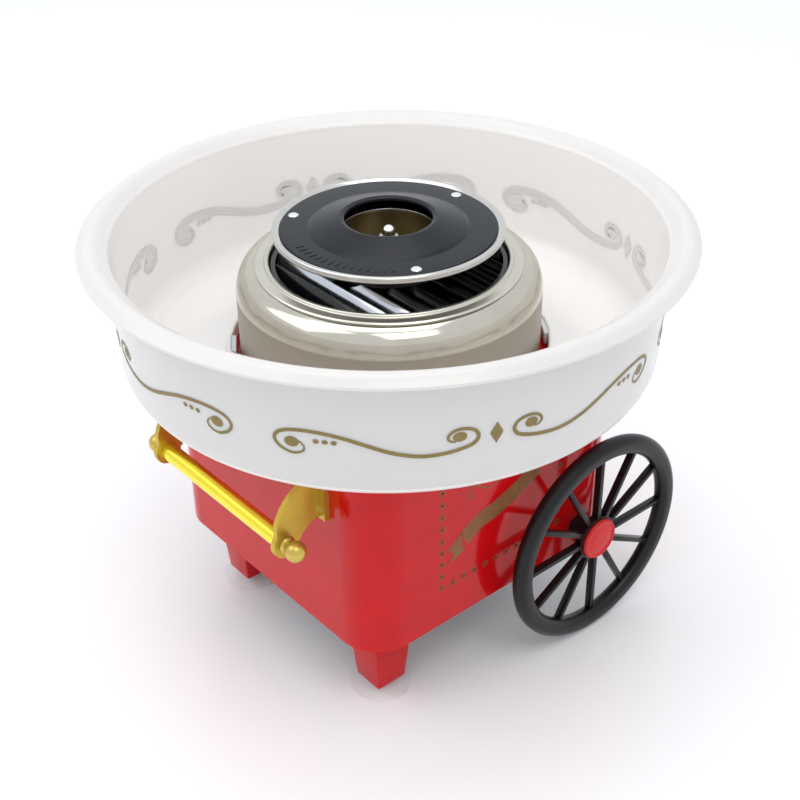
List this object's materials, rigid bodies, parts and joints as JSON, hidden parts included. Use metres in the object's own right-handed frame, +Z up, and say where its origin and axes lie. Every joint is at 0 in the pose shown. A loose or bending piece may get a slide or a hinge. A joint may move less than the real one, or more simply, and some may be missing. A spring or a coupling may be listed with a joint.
{
  "type": "cotton candy machine",
  "caption": "Retro cart-style cotton candy machine: lift-off bowl around a steel drum with a spinning sugar head, on a boxy body with spoked wheels and a push handle.",
  "frame": {"origin": "on the ground, under the middle of the bowl", "axes": "+Z up, handle on -X, axle along Y behind the middle, switch and cord bush on the +X face"},
  "size_m": [0.3, 0.3, 0.228],
  "materials": {
    "red_shell": "high gloss moulded plastic",
    "red_legs": "high gloss moulded plastic",
    "red_caps": "satin gloss plastic",
    "dark_plastic": "matte moulded plastic",
    "zinc_screws": "zinc plated",
    "clear_rubber": "clear soft vinyl",
    "wheel_black": "satin black plastic",
    "zinc_steel": "zinc plated steel",
    "gold_bar": "bright gold plated plastic",
    "gold_brackets": "satin gold paint",
    "gold_knobs": "satin gold paint",
    "drum_steel": "spun stainless steel",
    "collar_steel": "satin stainless steel",
    "shield_steel": "plain steel",
    "guard_black": "gloss black heat-proof plastic",
    "motor_steel": "plated steel",
    "bronze": "sintered bronze",
    "magnet": "ferrite",
    "rotor_iron": "laminated iron",
    "grommet_rubber": "black rubber",
    "heater_metal": "oxidised tube",
    "ceramic": "unglazed ceramic",
    "cup_aluminium": "heat-tinted aluminium",
    "band_steel": "perforated strip",
    "disc_steel": "bright polished steel",
    "cover_black": "satin black coating",
    "rivet_metal": "bright aluminium",
    "bowl_white": "milky white gloss plastic",
    "switch_black": "black plastic",
    "terminal_white": "white nylon"
  },
  "bodies": {
    "cart": {"base_housing": "red_shell", "bottom_plate": "dark_plastic", "bottom_screws": "zinc_screws", "leg_right": "red_legs", "leg_left": "red_legs", "suction_cup_right": "clear_rubber", "suction_cup_left": "clear_rubber", "axle": "zinc_steel", "axle_spacers": "wheel_black", "handle_bar": "gold_bar", "bracket_right": "gold_brackets", "bracket_left": "gold_brackets", "knob_right": "gold_knobs", "knob_left": "gold_knobs", "bracket_screws": "zinc_screws", "drum_shell": "drum_steel", "drum_collar": "collar_steel", "heat_shield": "shield_steel", "heat_guard": "guard_black", "motor_can": "motor_steel", "motor_end_cap": "motor_steel", "motor_bushes": "bronze", "motor_magnets": "magnet", "motor_tray": "zinc_steel", "motor_grommets": "grommet_rubber", "motor_screws": "zinc_screws", "heating_element": "heater_metal", "heater_posts": "ceramic", "switch_case": "switch_black", "rocker_pin": "zinc_steel", "cord_bush": "dark_plastic", "terminal_block": "terminal_white"},
    "head": {"motor_shaft": "zinc_steel", "motor_rotor": "rotor_iron", "sugar_cup": "cup_aluminium", "spinner_band": "band_steel", "head_disc": "disc_steel", "head_cover": "cover_black", "head_rivets": "rivet_metal", "dome_nut": "rivet_metal"},
    "right_wheel": {"wheel_right": "wheel_black", "hub_cap_right": "red_caps"},
    "left_wheel": {"wheel_left": "wheel_black", "hub_cap_left": "red_caps"},
    "bowl": {"bowl": "bowl_white"},
    "rocker": {"switch_rocker": "switch_black"}
  },
  "joints": [
    {"name": "head_spin", "type": "hinge", "parent": "cart", "child": "head", "pos_m": [0, 0, 0.2], "axis": [0, 0, 1], "continuous": true},
    {"name": "right_wheel_spin", "type": "hinge", "parent": "cart", "child": "right_wheel", "pos_m": [0.0568, -0.0986, 0.0595], "axis": [0, 1, 0], "continuous": true},
    {"name": "left_wheel_spin", "type": "hinge", "parent": "cart", "child": "left_wheel", "pos_m": [0.0568, 0.0986, 0.0595], "axis": [0, 1, 0], "continuous": true},
    {"name": "bowl_lift", "type": "slide", "parent": "cart", "child": "bowl", "axis": [0, 0, 1], "range_m": [0, 0.1]},
    {"name": "switch_rock", "type": "hinge", "parent": "cart", "child": "rocker", "pos_m": [0.084, 0, 0.074], "axis": [0, -1, 0], "range_deg": [0, 11]}
  ]
}
